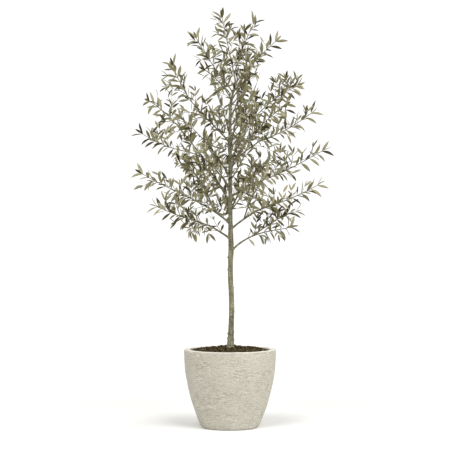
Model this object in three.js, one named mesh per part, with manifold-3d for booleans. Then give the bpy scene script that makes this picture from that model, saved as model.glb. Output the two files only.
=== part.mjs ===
// Potted olive tree: a young olive on one straight stem, in a round planter.
// Millimetres, +Z up. The origin is the centre of the pot's flat underside, +X is the tree's
// right and -Y its front. Azimuths are counted from +X towards +Y, in degrees.
import * as THREE from "three";
import { mergeVertices } from "three/addons/utils/BufferGeometryUtils.js";
import Module from "manifold-3d";

const wasm = await Module();
wasm.setup();

// ---- Driving dimensions ----------------------------------------------------------------

// Clearance that is left where one piece is cut by, or seated on, another.
const FIT_GAP = 0.4;

const POT = {
  height: 390,
  rimRadius: 231, // outside, at the rim
  footNarrowing: 88, // how much the wall curves in from rim to foot
  rimWidth: 32,
  rimDepth: 24, // the inside is straight this far down from the top
  rimRound: 8, // outer edge of the rim; the inner edge has half of it
  footRound: 12,
  wall: 26, // thickness below the rim
  floor: 30,
  sides: 36,
  wallBands: 6,
};

const SOIL = {
  edgeDrop: 9, // below the rim, at the pot's wall
  moundRise: 5, // above the rim, round the stem
  seatRadius: 34, // the level place that the stem stands on
  moundBands: 3,
};

// The stem's centre line and its radius, at heights above the pot's underside.
const TRUNK = {
  sides: 12,
  bands: 18,
  bends: [
    { height: 395, x: 2, y: 0 },
    { height: 520, x: 6, y: 2 },
    { height: 690, x: 5, y: 4 },
    { height: 880, x: 5, y: 1 },
    { height: 1040, x: 2, y: -3 },
    { height: 1250, x: 1, y: 0 },
    { height: 1480, x: 0, y: 4 },
    { height: 1610, x: 3, y: 2 },
    { height: 1690, x: 19, y: 1 },
    { height: 1738, x: 27, y: 0 },
  ],
  taper: [
    { height: 395, radius: 19 },
    { height: 500, radius: 16.3 },
    { height: 860, radius: 15 },
    { height: 1010, radius: 11.5 },
    { height: 1250, radius: 10 },
    { height: 1600, radius: 8 },
    { height: 1690, radius: 5.5 },
    { height: 1738, radius: 4.2 },
  ],
  flare: { radius: 6, height: 26 }, // root flare: added at the soil, fading over this height
};

// One row for each bough and the mass of foliage that it carries.
//   from     height on the stem, or the share of its parent bough's length where it forks off
//   azimuth  where it points
//   reach    distance from the stem's axis to its furthest leaf tip
//   top      height of that leaf tip
//   arch     rise above a straight line, a third and two thirds of the way along
//   bare     share of its length that has no foliage
//   leafy    how far the foliage stands out above and below it
//   shoot    a side shoot: share of the foliage's length, and how far it adds to the
//            outline, upwards or (negative) downwards
const BOUGHS = [
  { name: "left_low", from: 940, azimuth: 200, reach: 425, top: 1110, arch: [26, 28],
    bare: 0.22, leafy: [50, 92], shoot: [0.3, -26] },
  { name: "left_wide", from: 1014, azimuth: 176, reach: 478, top: 1290, arch: [17, -2],
    bare: 0.27, leafy: [58, 66], shoot: [0.12, 40] },
  { name: "left_rear_low", parent: "left_wide", from: 0.16, azimuth: 131, reach: 440, top: 1395,
    arch: [40, 35], bare: 0.3, leafy: [70, 72], shoot: [0.6, 24] },
  { name: "left_middle", from: 1184, azimuth: 188, reach: 480, top: 1478, arch: [75, 30],
    bare: 0.34, leafy: [56, 66], shoot: [0.7, 44] },
  { name: "left_high", parent: "left_middle", from: 0.27, azimuth: 163, reach: 466, top: 1660,
    arch: [30, 45], bare: 0.16, leafy: [60, 62], shoot: [0.66, 52] },
  { name: "left_upper", from: 1420, azimuth: 203, reach: 322, top: 1832, arch: [-34, -51],
    bare: 0.3, leafy: [52, 74], shoot: [0.8, -40] },
  { name: "left_rear_upper", parent: "left_upper", from: 0.25, azimuth: 140, reach: 335, top: 1605,
    arch: [22, 11], bare: 0.2, leafy: [58, 56], shoot: [0.4, 20] },
  { name: "left_front_top", from: 1636, azimuth: 232, reach: 240, top: 1782, arch: [23, 19],
    bare: 0.22, leafy: [46, 52] },
  { name: "left_top", from: 1672, azimuth: 172, reach: 192, top: 1988, arch: [-14, -26],
    bare: 0.16, leafy: [52, 52], shoot: [0.45, 12] },
  { name: "leader", from: 1735, azimuth: 160, reach: 52, top: 2092, arch: [0, 0],
    bare: 0.12, leafy: [54, 54] },
  { name: "right_leader", parent: "leader", from: 0.08, azimuth: 335, reach: 150, top: 2046,
    arch: [20, 20], bare: 0.2, leafy: [48, 48] },
  { name: "right_top", from: 1712, azimuth: 8, reach: 262, top: 1964, arch: [12, 2],
    bare: 0.22, leafy: [54, 46] },
  { name: "right_front_top", from: 1630, azimuth: 302, reach: 262, top: 1752, arch: [19, 17],
    bare: 0.22, leafy: [52, 50] },
  { name: "right_upper", from: 1420, azimuth: 20, reach: 398, top: 1736, arch: [25, 17],
    bare: 0.28, leafy: [56, 56], shoot: [0.7, 54] },
  { name: "right_front_upper", from: 1300, azimuth: 316, reach: 415, top: 1612, arch: [37, 29],
    bare: 0.26, leafy: [60, 64], shoot: [0.5, 22] },
  { name: "right_high", from: 1314, azimuth: 352, reach: 448, top: 1582, arch: [25, 20],
    bare: 0.32, leafy: [58, 56] },
  { name: "right_middle", from: 1150, azimuth: 8, reach: 510, top: 1400, arch: [7, 5],
    bare: 0.26, leafy: [66, 54], shoot: [0.6, 34] },
  { name: "right_wide", from: 988, azimuth: 350, reach: 482, top: 1222, arch: [27, 15],
    bare: 0.28, leafy: [60, 52] },
  { name: "right_front", parent: "right_wide", from: 0.14, azimuth: 297, reach: 428, top: 1272,
    arch: [31, 23], bare: 0.24, leafy: [70, 68], shoot: [0.5, 24] },
  { name: "right_low", from: 880, azimuth: 22, reach: 376, top: 1012, arch: [33, 17],
    bare: 0.36, leafy: [44, 72] },
  { name: "right_fork", parent: "right_low", from: 0.33, azimuth: 346, reach: 378, top: 1082,
    arch: [17, 16], bare: 0.22, leafy: [46, 50] },
  { name: "right_rear", from: 1077, azimuth: 58, reach: 408, top: 1345, arch: [50, 40],
    bare: 0.26, leafy: [68, 70], shoot: [0.5, 22] },
  { name: "front_left_low", from: 1098, azimuth: 246, reach: 400, top: 1322, arch: [42, 30],
    bare: 0.24, leafy: [68, 68] },
  { name: "front_left", from: 1246, azimuth: 228, reach: 388, top: 1548, arch: [30, 24],
    bare: 0.24, leafy: [62, 64], shoot: [0.45, 24] },
  { name: "front_right", from: 1380, azimuth: 283, reach: 330, top: 1660, arch: [24, 18],
    bare: 0.26, leafy: [62, 60] },
  { name: "rear_low", from: 985, azimuth: 94, reach: 385, top: 1185, arch: [37, 29],
    bare: 0.28, leafy: [66, 70] },
  { name: "rear_middle", from: 1225, azimuth: 82, reach: 410, top: 1520, arch: [29, 22],
    bare: 0.26, leafy: [68, 70], shoot: [0.5, 22] },
  { name: "rear_upper", from: 1455, azimuth: 108, reach: 310, top: 1768, arch: [17, 13],
    bare: 0.24, leafy: [60, 60] },
];

const BOUGH = {
  sides: 6,
  bands: 4,
  stemShare: 0.42, // root radius over the stem's radius there
  leastRadius: 3.3,
  mostRadius: 5.2,
  forkRadius: 3.6, // root radius of a bough that forks off another
  taper: 0.62, // radius where it enters its foliage, over its root radius
  collar: 0.45, // swelling at its root, over its root radius
  entry: 12, // length that reaches into the foliage
};

const FOLIAGE = {
  sides: 8,
  bands: 7,
  breadth: 1.12, // half-width to the side, over the mean of above and below
  fullness: 2.5, // bluntness of the two ends
  tipWidth: 0.72, // width near the tip, over the full width
  narrowsFrom: 0.4, // share of its length where it starts to narrow to that
  lump: 0.13, // unevenness of the outline: height of each wave, over the half-width
  waves: [
    { around: 3, along: 6, turn: 1.7 }, // turn: how far a wave shifts from mass to mass
    { around: 2, along: 11, turn: -2.3 },
  ],
  shootLength: 0.16, // half-length of a side shoot, as a share of the foliage's length
};

const FINISH = {
  pot: { color: 0xcfcab9, roughness: 0.9 },
  soil: { color: 0x2b2217, roughness: 1 },
  bark: { color: 0x8a836a, roughness: 0.85 },
  leaf: { color: 0x7b7a5c, roughness: 0.6 },
};

// ---- Tools for solids ------------------------------------------------------------------

const UP = new THREE.Vector3(0, 0, 1);
const BACK = new THREE.Vector3(0, 1, 0);

// A closed mesh as a manifold-3d solid.
function solidOf(geometry) {
  const bare = geometry.clone();
  bare.deleteAttribute("normal");
  bare.deleteAttribute("uv");
  const merged = mergeVertices(bare, 1e-3);
  return new wasm.Manifold(
    new wasm.Mesh({
      numProp: 3,
      vertProperties: new Float32Array(merged.attributes.position.array),
      triVerts: new Uint32Array(merged.index.array),
    }),
  );
}

// The largest body of a solid, as a three.js geometry.
function geometryOf(solid) {
  const largest = solid.decompose().reduce((a, b) => (b.volume() > a.volume() ? b : a));
  const mesh = largest.getMesh();
  return new THREE.BufferGeometry()
    .setAttribute("position", new THREE.BufferAttribute(new Float32Array(mesh.vertProperties), 3))
    .setIndex(new THREE.BufferAttribute(new Uint32Array(mesh.triVerts), 1));
}

function subPart(name, geometry, finish) {
  geometry.computeVertexNormals();
  const material = new THREE.MeshStandardMaterial({ ...finish, metalness: 0 });
  const mesh = new THREE.Mesh(geometry, material);
  mesh.name = name;
  return mesh;
}

// A cylinder of unit radius that stands on Y from 0 to 1.
function unitCylinder(sides, bands) {
  return new THREE.CylinderGeometry(1, 1, 1, sides, bands).translate(0, 0.5, 0);
}

// A unit ball whose rings are evenly spaced on Y from 0 to 1, its poles at the two ends.
function unitBall(sides, bands) {
  const ball = new THREE.SphereGeometry(1, sides, bands);
  const position = ball.attributes.position;
  for (let i = 0; i < position.count; i++) {
    const fromPole = Math.acos(THREE.MathUtils.clamp(-position.getY(i), -1, 1));
    position.setY(i, fromPole / Math.PI);
  }
  return ball;
}

// Bends a unit cylinder or ball to follow a curve between two of its shares, and lengthens it
// by a clearance at both ends.
// sectionAt(share, angle) gives the offset from the curve: x to the side, y upwards.
function bendAlong(primitive, curve, [start, end], clearance, sectionAt) {
  const position = primitive.attributes.position;
  const chord = curve.getPoint(end).sub(curve.getPoint(start)).normalize();
  const reference = Math.abs(chord.z) > 0.9 ? BACK : UP;
  for (let i = 0; i < position.count; i++) {
    const [x, share, z] = [position.getX(i), position.getY(i), position.getZ(i)];
    const isRim = Math.hypot(x, z) > 1e-6;
    const offset = isRim ? sectionAt(share, Math.atan2(z, x)) : new THREE.Vector2();
    const t = THREE.MathUtils.lerp(start, end, share);
    const tangent = curve.getTangent(t);
    const side = tangent.clone().cross(reference).normalize();
    const over = side.clone().cross(tangent);
    const point = curve
      .getPoint(t)
      .addScaledVector(tangent, clearance * (2 * share - 1))
      .addScaledVector(side, offset.x)
      .addScaledVector(over, offset.y);
    position.setXYZ(i, point.x, point.y, point.z);
  }
  return primitive;
}

const polar = (radius, angle) =>
  new THREE.Vector2(radius * Math.cos(angle), radius * Math.sin(angle));

// ---- Pot and soil ----------------------------------------------------------------------

const lathe = (profile) => new THREE.LatheGeometry(profile, POT.sides).rotateX(Math.PI / 2);

// Points of an arc about a centre, between two angles in degrees.
function arc(x, y, radius, from, to, steps) {
  return Array.from({ length: steps + 1 }, (_, i) => {
    const angle = THREE.MathUtils.degToRad(THREE.MathUtils.lerp(from, to, i / steps));
    return polar(radius, angle).add(new THREE.Vector2(x, y));
  });
}

const rimInnerRadius = POT.rimRadius - POT.rimWidth;
const rimUnderside = POT.height - POT.rimDepth;

function outerRadius(height) {
  return POT.rimRadius - POT.footNarrowing * (1 - height / POT.height) ** 2;
}

function innerRadius(height) {
  return Math.min(outerRadius(height) - POT.wall, rimInnerRadius);
}

// Points of the pot's inside between its floor and the rim, shrunk by a clearance.
function insideProfile(clearance) {
  const bottom = POT.floor + clearance;
  const bands = POT.wallBands - 2;
  return Array.from({ length: bands + 1 }, (_, i) => {
    const height = THREE.MathUtils.lerp(bottom, rimUnderside, i / bands);
    return new THREE.Vector2(innerRadius(height) - 2 * clearance, height);
  });
}

function pot() {
  const { height, footRound, rimRound, rimRadius, wallBands } = POT;
  const outside = [];
  for (let i = 1; i < wallBands; i++) {
    const z = THREE.MathUtils.lerp(footRound, height - rimRound, i / wallBands);
    outside.push(new THREE.Vector2(outerRadius(z), z));
  }
  const innerRound = rimRound / 2;
  return lathe([
    new THREE.Vector2(0, 0),
    ...arc(outerRadius(footRound) - footRound, footRound, footRound, -90, 0, 2),
    ...outside,
    ...arc(rimRadius - rimRound, height - rimRound, rimRound, 0, 90, 3),
    ...arc(rimInnerRadius + innerRound, height - innerRound, innerRound, 90, 180, 1),
    ...insideProfile(0).reverse(),
    new THREE.Vector2(0, POT.floor),
  ]);
}

const soilTop = POT.height + SOIL.moundRise;

function soil() {
  const edge = POT.height - SOIL.edgeDrop;
  const mound = [];
  for (let i = 0; i <= SOIL.moundBands; i++) {
    const share = i / SOIL.moundBands;
    const radius = THREE.MathUtils.lerp(rimInnerRadius - 2 * FIT_GAP, SOIL.seatRadius, share);
    mound.push(new THREE.Vector2(radius, THREE.MathUtils.lerp(edge, soilTop, Math.sqrt(share))));
  }
  return lathe([
    new THREE.Vector2(0, POT.floor + FIT_GAP),
    ...insideProfile(FIT_GAP),
    ...mound,
    new THREE.Vector2(0, soilTop),
  ]);
}

// ---- Stem ------------------------------------------------------------------------------

const trunkFoot = soilTop + FIT_GAP;
const trunkCurve = new THREE.CatmullRomCurve3(
  TRUNK.bends.map(({ height, x, y }, i) => new THREE.Vector3(x, y, i ? height : trunkFoot)),
);

function trunkRadius(height) {
  const { taper, flare } = TRUNK;
  const high = taper.find((row, i) => i > 0 && row.height >= height) ?? taper.at(-1);
  const low = taper[taper.indexOf(high) - 1];
  const plain = THREE.MathUtils.mapLinear(height, low.height, high.height, low.radius, high.radius);
  return plain + flare.radius * Math.exp(-(height - trunkFoot) / flare.height);
}

// The stem, grown outwards by a clearance. Its foot is cut level with the soil.
function trunk(clearance) {
  const shape = bendAlong(
    unitCylinder(TRUNK.sides, TRUNK.bands),
    trunkCurve,
    [0, 1],
    clearance,
    (share, angle) => polar(trunkRadius(trunkCurve.getPoint(share).z) + clearance, angle),
  );
  const position = shape.attributes.position;
  const footVertices = trunkFoot + TRUNK.flare.radius;
  for (let i = 0; i < position.count; i++)
    if (position.getZ(i) < footVertices) position.setZ(i, trunkFoot - clearance);
  return shape;
}

// The point of the stem's centre line at a height.
function onTrunk(height) {
  let [low, high] = [0, 1];
  while (high - low > 1e-5) {
    const middle = (low + high) / 2;
    if (trunkCurve.getPoint(middle).z < height) low = middle;
    else high = middle;
  }
  return trunkCurve.getPoint(low);
}

// ---- Boughs and foliage ----------------------------------------------------------------

// The line of a bough from its root to its furthest leaf tip. The control points of a cubic
// are lifted by these weights so that the curve itself passes its two arch heights.
function boughCurve(row, curves) {
  const [near, far] = [3, -1.5];
  const root = row.parent ? curves.get(row.parent).getPoint(row.from) : onTrunk(row.from);
  const out = polar(row.reach, THREE.MathUtils.degToRad(row.azimuth));
  const tip = new THREE.Vector3(out.x, out.y, row.top);
  const [first, second] = row.arch;
  return new THREE.CubicBezierCurve3(
    root,
    root.clone().lerp(tip, 1 / 3).addScaledVector(UP, near * first + far * second),
    root.clone().lerp(tip, 2 / 3).addScaledVector(UP, near * second + far * first),
    tip,
  );
}

function rootRadius(row) {
  if (row.parent) return BOUGH.forkRadius;
  const shareOfStem = BOUGH.stemShare * trunkRadius(row.from);
  return THREE.MathUtils.clamp(shareOfStem, BOUGH.leastRadius, BOUGH.mostRadius);
}

// A bough, grown outwards by a clearance.
function bough(row, curve, clearance) {
  const { sides, bands, taper, collar, entry } = BOUGH;
  const root = rootRadius(row);
  const radiusAt = (share) =>
    root * (THREE.MathUtils.lerp(1, taper, share) + collar * (1 - share) ** 8) + clearance;
  const stretch = [0, row.bare + entry / curve.getLength()];
  return bendAlong(unitCylinder(sides, bands), curve, stretch, clearance, (share, angle) =>
    polar(radiusAt(share), angle),
  );
}

// Half-width of a mass along its length, over its full half-width.
function foliageProfile(share) {
  const { fullness, tipWidth, narrowsFrom } = FOLIAGE;
  const blunt = (1 - Math.abs(2 * share - 1) ** fullness) ** (1 / fullness);
  return blunt * THREE.MathUtils.lerp(1, tipWidth, THREE.MathUtils.smoothstep(share, narrowsFrom, 1));
}

// A mass of foliage, grown outwards by a clearance. Its index turns its lumps.
function foliage(row, index, curve, clearance) {
  const { sides, bands, breadth, lump, waves, shootLength } = FOLIAGE;
  const [above, below] = row.leafy;
  const [shootAt, shootRise] = row.shoot ?? [0, 0];
  const section = (share, angle) => {
    const uneven = waves.reduce(
      (sum, { around, along, turn }) =>
        sum + lump * Math.sin(around * angle + along * share + turn * index),
      1,
    );
    const width = foliageProfile(share) * uneven;
    const upward = Math.sin(angle);
    const shoot = shootRise * Math.exp(-(((share - shootAt) / shootLength) ** 2));
    const lift = shoot * upward > 0 ? shoot * Math.abs(upward) : 0;
    return new THREE.Vector2(
      Math.cos(angle) * (width * breadth * (above + below) / 2 + clearance),
      upward * (width * (upward > 0 ? above : below) + clearance) + lift * foliageProfile(share),
    );
  };
  return bendAlong(unitBall(sides, bands), curve, [row.bare, 1], clearance, section);
}

// ---- Assembly --------------------------------------------------------------------------

const tree = new THREE.Group();
tree.add(subPart("pot", pot(), FINISH.pot));
tree.add(subPart("soil", soil(), FINISH.soil));
tree.add(subPart("trunk", trunk(0), FINISH.bark));

const curves = new Map();
for (const row of BOUGHS) curves.set(row.name, boughCurve(row, curves));

// Takes every cutter away from a whole solid.
const cutBy = (whole, cutters) =>
  geometryOf(cutters.reduce((left, cutter) => left.subtract(cutter), whole));

// Each bough is cut by the stem and by the boughs before it, its parent among them.
const cutters = [solidOf(trunk(FIT_GAP))];
for (const row of BOUGHS) {
  const curve = curves.get(row.name);
  const limb = cutBy(solidOf(bough(row, curve, 0)), cutters);
  tree.add(subPart(`bough_${row.name}`, limb, FINISH.bark));
  cutters.push(solidOf(bough(row, curve, FIT_GAP)));
}

// Each mass is cut by the stem, by every bough and by the masses before it.
BOUGHS.forEach((row, index) => {
  const curve = curves.get(row.name);
  const mass = cutBy(solidOf(foliage(row, index, curve, 0)), cutters);
  tree.add(subPart(`foliage_${row.name}`, mass, FINISH.leaf));
  cutters.push(solidOf(foliage(row, index, curve, FIT_GAP)));
});

export default tree;
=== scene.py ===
"""The looks of a young olive tree in a round planter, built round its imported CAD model."""

import math
import random
from collections import Counter

import bmesh
import bpy
import numpy as np
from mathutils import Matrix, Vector
from mathutils.bvhtree import BVHTree


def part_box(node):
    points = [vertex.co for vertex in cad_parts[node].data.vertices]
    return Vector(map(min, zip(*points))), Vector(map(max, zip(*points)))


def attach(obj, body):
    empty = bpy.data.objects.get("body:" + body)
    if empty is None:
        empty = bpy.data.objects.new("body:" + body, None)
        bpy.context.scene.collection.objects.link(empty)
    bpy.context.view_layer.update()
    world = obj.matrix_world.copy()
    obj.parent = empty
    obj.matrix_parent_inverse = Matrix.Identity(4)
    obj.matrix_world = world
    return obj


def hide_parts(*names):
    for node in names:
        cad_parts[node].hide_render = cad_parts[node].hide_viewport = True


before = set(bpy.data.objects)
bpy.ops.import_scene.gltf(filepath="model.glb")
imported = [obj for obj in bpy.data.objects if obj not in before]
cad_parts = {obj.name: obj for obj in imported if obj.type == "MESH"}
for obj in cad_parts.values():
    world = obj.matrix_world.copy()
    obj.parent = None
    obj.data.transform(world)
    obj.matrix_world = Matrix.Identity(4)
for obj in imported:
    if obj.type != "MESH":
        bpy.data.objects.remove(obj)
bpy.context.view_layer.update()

# ---- Pot ---------------------------------------------------------------------------------
# A round planter cast in pale stone mix. Its wall was dragged round with a stiff brush while
# the mix was still soft, which left short sideways ridges and small open pits. It stands on
# its flat underside.

POT_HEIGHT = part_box("pot")[1].z
RIM_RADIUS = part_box("pot")[1].x
FOOT_RADIUS = 0.143  # where the curve of the wall would meet the floor
WALL = 0.026
MID_WALL = 0.012  # outwards from the inside of the wall
RIM_WIDTH = 0.032
RIM_DEPTH = 0.024
MOUTH_RADIUS = RIM_RADIUS - RIM_WIDTH
POT_FLOOR = 0.030
POT_SIDES = 64
FOOT = [(0.060, 0), (0.110, 0), (0.1315, 0), (0.1400, 0.0028), (0.1463, 0.0105)]
WALL_RINGS = 29
WALL_FROM = 0.024  # the heights of its first and last rings
WALL_TO = POT_HEIGHT - 0.016
RIM = [  # inwards from the radius of the rim, and down from its top
    (0, 0.006), (0.0012, 0.002), (0.005, 0), (0.012, 0), (0.022, 0), (RIM_WIDTH - 0.003, 0),
    (RIM_WIDTH, 0.003), (RIM_WIDTH, 0.012), (RIM_WIDTH, RIM_DEPTH),
]
INSIDE_HEIGHTS = (0.33, 0.28, 0.22, 0.16, 0.10, 0.06, 0.036)
FLOOR_RADII = (0.11, 0.05)
BRUSHED_FROM = 0.004  # height above the flat underside
BRUSH_MARKS = [  # size of a lump along x, y and z, then height, kind of noise and depth
    ((0.046, 0.046, 0.0080), 0.0019, "HARD_NOISE", 1),  # the ridges
    ((0.013, 0.013, 0.007), 0.0018, "SOFT_NOISE", 2),  # the grain
    ((0.20, 0.20, 0.11), 0.0030, "SOFT_NOISE", 1),  # the unevenness of the mould
]


def wall_radius(height):
    return RIM_RADIUS - (RIM_RADIUS - FOOT_RADIUS) * (1 - height / POT_HEIGHT) ** 2


def inner_radius(height):
    return min(wall_radius(height) - WALL, MOUTH_RADIUS)


def pick(piece):
    """Selects a piece and nothing else."""
    bpy.ops.object.select_all(action="DESELECT")
    piece.select_set(True)
    bpy.context.view_layer.objects.active = piece


def set_up(name, data):
    """A new object in the scene."""
    thing = bpy.data.objects.new(name, data)
    bpy.context.scene.collection.objects.link(thing)
    return thing


def turned(name, sides, rings):
    """A closed round form: a disc, extruded through each (radius, height) in turn."""
    bpy.ops.object.select_all(action="DESELECT")
    radius, height = rings[0]
    bpy.ops.mesh.primitive_circle_add(
        vertices=sides, radius=radius, fill_type="NGON", location=(0, 0, height)
    )
    piece = bpy.context.object
    piece.name = name
    bpy.ops.object.mode_set(mode="EDIT")
    for next_radius, next_height in rings[1:]:
        rise = (0, 0, next_height - height)
        growth = next_radius / radius
        bpy.ops.mesh.extrude_region_move(TRANSFORM_OT_translate={"value": rise})
        bpy.ops.transform.resize(
            value=(growth, growth, 1), center_override=(0, 0, next_height)
        )
        radius, height = next_radius, next_height
    bpy.ops.mesh.select_all(action="SELECT")
    bpy.ops.mesh.normals_make_consistent(inside=False)
    bpy.ops.object.mode_set(mode="OBJECT")
    bpy.ops.object.transform_apply()
    return piece


def apply_modifier(piece, kind, **settings):
    modifier = piece.modifiers.new(kind, kind)
    for name, value in settings.items():
        setattr(modifier, name, value)
    bpy.context.view_layer.objects.active = piece
    bpy.ops.object.modifier_apply(modifier=modifier.name)


def subdivide(piece, levels):
    apply_modifier(piece, "SUBSURF", levels=levels, render_levels=levels)


def roughen(piece, lump, height, kind="SOFT_NOISE", depth=2, where=""):
    """Raises and lowers the skin. lump is the size of one lump along x, y and z."""
    clouds = bpy.data.textures.new("lumps", "CLOUDS")
    clouds.noise_scale = 1
    clouds.noise_depth = depth
    clouds.noise_type = kind
    handle = set_up("lump_size", None)
    handle.scale = lump
    bpy.context.view_layer.update()
    apply_modifier(
        piece, "DISPLACE", texture=clouds, texture_coords="OBJECT", mid_level=0.5,
        texture_coords_object=handle, strength=height, vertex_group=where,
    )
    bpy.data.objects.remove(handle)
    bpy.data.textures.remove(clouds)


def finish_faces(piece, material, crease=30):
    """Smooth faces with creases, the material and the body of a finished piece."""
    pick(piece)
    bpy.ops.object.shade_smooth_by_angle(angle=math.radians(crease))
    if material:
        piece.data.materials.clear()
        piece.data.materials.append(material)
    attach(piece, "root")


wall_heights = np.linspace(WALL_FROM, WALL_TO, WALL_RINGS).tolist()
pot_rings = FOOT + [(wall_radius(z), z) for z in wall_heights]
pot_rings += [(RIM_RADIUS - inwards, POT_HEIGHT - down) for inwards, down in RIM]
pot_rings += [(inner_radius(z), z) for z in INSIDE_HEIGHTS]
pot_rings += [(radius, POT_FLOOR) for radius in FLOOR_RADII]

planter = turned("planter", POT_SIDES, pot_rings)
subdivide(planter, 2)
brushed = planter.vertex_groups.new(name="brushed")
for vertex in planter.data.vertices:
    radius = math.hypot(vertex.co.x, vertex.co.y)
    outside = radius > inner_radius(vertex.co.z) + MID_WALL
    if outside and vertex.co.z > BRUSHED_FROM:
        brushed.add([vertex.index], 1, "REPLACE")
for lump, height, kind, depth in BRUSH_MARKS:
    roughen(planter, lump, height, kind, depth, "brushed")
planter.vertex_groups.clear()


def paint(red, green, blue):
    """A colour as a paint chart gives it, 0 to 255, as the plain number that a shader takes."""
    shares = [value / 255 for value in (red, green, blue)]
    return (*[s / 12.92 if s < 0.04045 else ((s + 0.055) / 1.055) ** 2.4 for s in shares], 1)


def put(tree, kind, inputs=None, **settings):
    """Adds a node. inputs holds a number, a colour or a socket for each named input."""
    node = tree.nodes.new(kind)
    for name, value in settings.items():
        setattr(node, name, value)
    for name, value in (inputs or {}).items():
        if isinstance(value, bpy.types.NodeSocket):
            tree.links.new(value, node.inputs[name])
        else:
            node.inputs[name].default_value = value
    return node


def ramp(tree, factor, *stops):
    """A colour ramp through (place, colour) stops."""
    node = put(tree, "ShaderNodeValToRGB", {"Fac": factor})
    node.color_ramp.elements[1].position = stops[-1][0]
    node.color_ramp.elements[1].color = stops[-1][1]
    node.color_ramp.elements[0].position = stops[0][0]
    node.color_ramp.elements[0].color = stops[0][1]
    for place, colour in stops[1:-1]:
        node.color_ramp.elements.new(place).color = colour
    return node.outputs["Color"]


def spread(tree, value, low, high, to_low=0, to_high=1):
    inputs = {"Value": value, "From Min": low, "From Max": high}
    inputs |= {"To Min": to_low, "To Max": to_high}
    return put(tree, "ShaderNodeMapRange", inputs).outputs["Result"]


def arithmetic(tree, operation, first, second):
    return put(tree, "ShaderNodeMath", {0: first, 1: second}, operation=operation).outputs[0]


def stretched(tree, size):
    """Object coordinates, measured in lumps of a size along x, y and z."""
    place = put(tree, "ShaderNodeTexCoord").outputs["Object"]
    scale = tuple(1 / s for s in size)
    return put(tree, "ShaderNodeMapping", {"Vector": place, "Scale": scale}).outputs[0]


def grit_group():
    """Fine grit and open pits, for stone, compost and bark."""
    tree = bpy.data.node_groups.new("grit", "ShaderNodeTree")
    for name, kind in (("Vector", "Vector"), ("Pit Share", "Float")):
        tree.interface.new_socket(name, in_out="INPUT", socket_type="NodeSocket" + kind)
    for name in ("Grit", "Pits"):
        tree.interface.new_socket(name, in_out="OUTPUT", socket_type="NodeSocketFloat")
    given = put(tree, "NodeGroupInput")
    where = given.outputs["Vector"]
    fine = put(tree, "ShaderNodeTexNoise", {"Vector": where, "Scale": 1.0, "Detail": 4.0,
                                            "Roughness": 0.65})
    cells = put(tree, "ShaderNodeTexVoronoi", {"Vector": where, "Scale": 0.45})
    chance = put(tree, "ShaderNodeTexNoise", {"Vector": where, "Scale": 0.21, "Detail": 1.0})
    reach = arithmetic(tree, "MULTIPLY", chance.outputs["Fac"], given.outputs["Pit Share"])
    pits = spread(tree, arithmetic(tree, "SUBTRACT", reach, cells.outputs["Distance"]), 0, 0.12)
    put(tree, "NodeGroupOutput", {"Grit": fine.outputs["Fac"], "Pits": pits})
    return tree


grit = grit_group()


def grit_of(tree, size, pit_share):
    """The grit and the pits, in lumps of a size along x, y and z."""
    inputs = {"Vector": stretched(tree, size), "Pit Share": pit_share}
    grains = put(tree, "ShaderNodeGroup", inputs, node_tree=grit)
    return grains.outputs["Grit"], grains.outputs["Pits"]


def new_material(name, colour, roughness, **plain):
    """A material whose colour and roughness may be a socket's. plain holds even values."""
    material = bpy.data.materials.new(name)
    material.use_nodes = True
    shader = material.node_tree.nodes["Principled BSDF"]
    shader.inputs["Base Color"].default_value = colour
    shader.inputs["Roughness"].default_value = roughness
    for socket, value in plain.items():
        shader.inputs[socket.replace("_", " ")].default_value = value
    return material, material.node_tree, shader


def noise(tree, size, detail=2.0, roughness=0.5):
    """Soft noise, 0 to 1, in lumps of a size along x, y and z."""
    inputs = {"Vector": stretched(tree, size), "Scale": 1.0, "Detail": detail,
              "Roughness": roughness}
    return put(tree, "ShaderNodeTexNoise", inputs).outputs["Fac"]


def blend(tree, *shares):
    """The sum of (share, socket) pairs."""
    total = 0.0
    for share, socket in shares:
        total = arithmetic(tree, "ADD", arithmetic(tree, "MULTIPLY", socket, share), total)
    return total


def carve(tree, shader, height, strength, distance):
    """Lights a surface as if it stood out by a height."""
    relief = put(tree, "ShaderNodeBump", {"Height": height, "Strength": strength,
                                          "Distance": distance})
    tree.links.new(relief.outputs["Normal"], shader.inputs["Normal"])


def cast_stone():
    material, tree, shader = new_material(
        "brushed_cast_stone", paint(196, 190, 174), 0.93, Specular_IOR_Level=0.25
    )
    strokes = noise(tree, (0.030, 0.030, 0.0036), 3.0, 0.6)
    patchy = spread(tree, noise(tree, (0.09, 0.09, 0.045)), 0.4, 0.62, 0.25, 1.0)
    marks = arithmetic(tree, "MULTIPLY", arithmetic(tree, "SUBTRACT", strokes, 0.5), patchy)
    speckle = noise(tree, (0.0055, 0.0055, 0.0042), 3.0, 0.7)
    cloudy = noise(tree, (0.12, 0.12, 0.07))
    fine, pits = grit_of(tree, (0.0048, 0.0048, 0.0034), 0.42)
    # The colour follows this relief, the pits and hollows darker and the ridges paler: partly
    # the mix's own tone and partly painted shade.
    rise = blend(tree, (0.9, marks), (0.55, speckle), (0.5, fine), (-0.2, pits))
    place = put(tree, "ShaderNodeTexCoord").outputs["Object"]
    height = put(tree, "ShaderNodeSeparateXYZ", {"Vector": place}).outputs["Z"]
    # The top of the rim is painted paler: a painted highlight where the light falls on it.
    painted_rim_highlight = spread(tree, height, POT_HEIGHT - 0.003, POT_HEIGHT - 0.0005)  # the top
    tone = blend(tree, (1.0, rise), (0.12, cloudy), (0.30, painted_rim_highlight))
    colour = ramp(
        tree, spread(tree, tone, 0.38, 0.96),
        (0.0, paint(138, 134, 121)), (0.38, paint(180, 176, 163)),
        (0.6, paint(196, 192, 180)), (1.0, paint(234, 232, 224)),
    )
    tree.links.new(colour, shader.inputs["Base Color"])
    tree.links.new(spread(tree, fine, 0.3, 0.7, 0.86, 0.97), shader.inputs["Roughness"])
    carve(tree, shader, rise, 1.0, 0.0028)
    return material


finish_faces(planter, cast_stone(), 60)
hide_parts("pot")

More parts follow.
